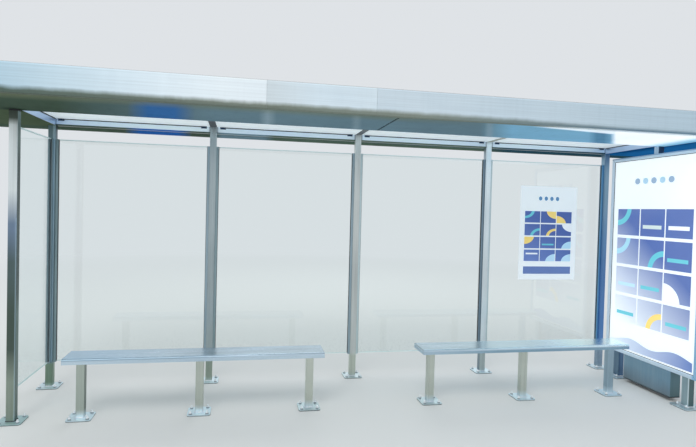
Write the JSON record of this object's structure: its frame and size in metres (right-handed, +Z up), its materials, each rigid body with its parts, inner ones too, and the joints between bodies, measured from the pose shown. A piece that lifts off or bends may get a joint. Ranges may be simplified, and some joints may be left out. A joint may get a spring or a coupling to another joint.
{
  "type": "bus shelter",
  "caption": "Open-front bus shelter: stainless posts, flat boxed roof with opal ceiling, clear back and side panels, two benches and a lit poster box.",
  "frame": {"origin": "on the ground under the middle of the roof", "axes": "+Z up; +X along the shelter toward the poster box; the open front faces -Y"},
  "size_m": [6.64, 1.75, 2.475],
  "materials": {
    "post_steel": "brushed stainless tube, satin, lightly marked",
    "beam_steel": "brushed stainless tube",
    "fascia_steel": "fine brushed stainless sheet, grain along the roof",
    "soffit_steel": "near mirror brushed stainless sheet",
    "deck_steel": "dull stainless sheet, dusty",
    "channel_steel": "folded stainless channel",
    "seat_steel": "brushed stainless sheet, grain along the bench, worn",
    "leg_steel": "brushed stainless tube",
    "ceiling_opal": "opal sheet",
    "clear_glass": "clear toughened glass",
    "box_frame": "satin anodised",
    "box_body": "satin grey",
    "box_leg": "brushed stainless tube",
    "case_metal": "satin grey paint, dusty",
    "inner_poster_face": null,
    "outer_poster_face": null,
    "notice_paper": null
  },
  "bodies": {
    "root": {"rear_post_1": "post_steel", "rear_post_2": "post_steel", "rear_post_3": "post_steel", "rear_post_4": "post_steel", "rear_post_5": "post_steel", "front_left_post": "post_steel", "front_right_stub": "post_steel", "front_beam": "beam_steel", "rear_beam": "beam_steel", "side_beams": "beam_steel", "cross_beams": "beam_steel", "ceiling_panel_1": "ceiling_opal", "ceiling_panel_2": "ceiling_opal", "ceiling_panel_3": "ceiling_opal", "ceiling_panel_4": "ceiling_opal", "front_fascia_left": "fascia_steel", "front_fascia_middle": "fascia_steel", "front_fascia_right": "fascia_steel", "rear_fascia": "fascia_steel", "left_end_fascia": "fascia_steel", "right_end_fascia": "fascia_steel", "front_soffit_left": "soffit_steel", "front_soffit_right": "soffit_steel", "rear_soffit": "soffit_steel", "end_soffits": "soffit_steel", "roof_deck": "deck_steel", "back_glass_1": "clear_glass", "back_glass_2": "clear_glass", "back_glass_3": "clear_glass", "back_glass_4": "clear_glass", "left_side_glass": "clear_glass", "back_glazing_channels": "channel_steel", "side_glazing_channels": "channel_steel", "left_bench_seat": "seat_steel", "right_bench_seat": "seat_steel", "left_bench_legs": "leg_steel", "right_bench_legs": "leg_steel", "poster_box_body": "box_body", "inner_poster_frame": "box_frame", "outer_poster_frame": "box_frame", "inner_poster": "inner_poster_face", "outer_poster": "outer_poster_face", "poster_box_legs": "box_leg", "equipment_case": "case_metal", "glass_notice": "notice_paper"}
  },
  "joints": []
}
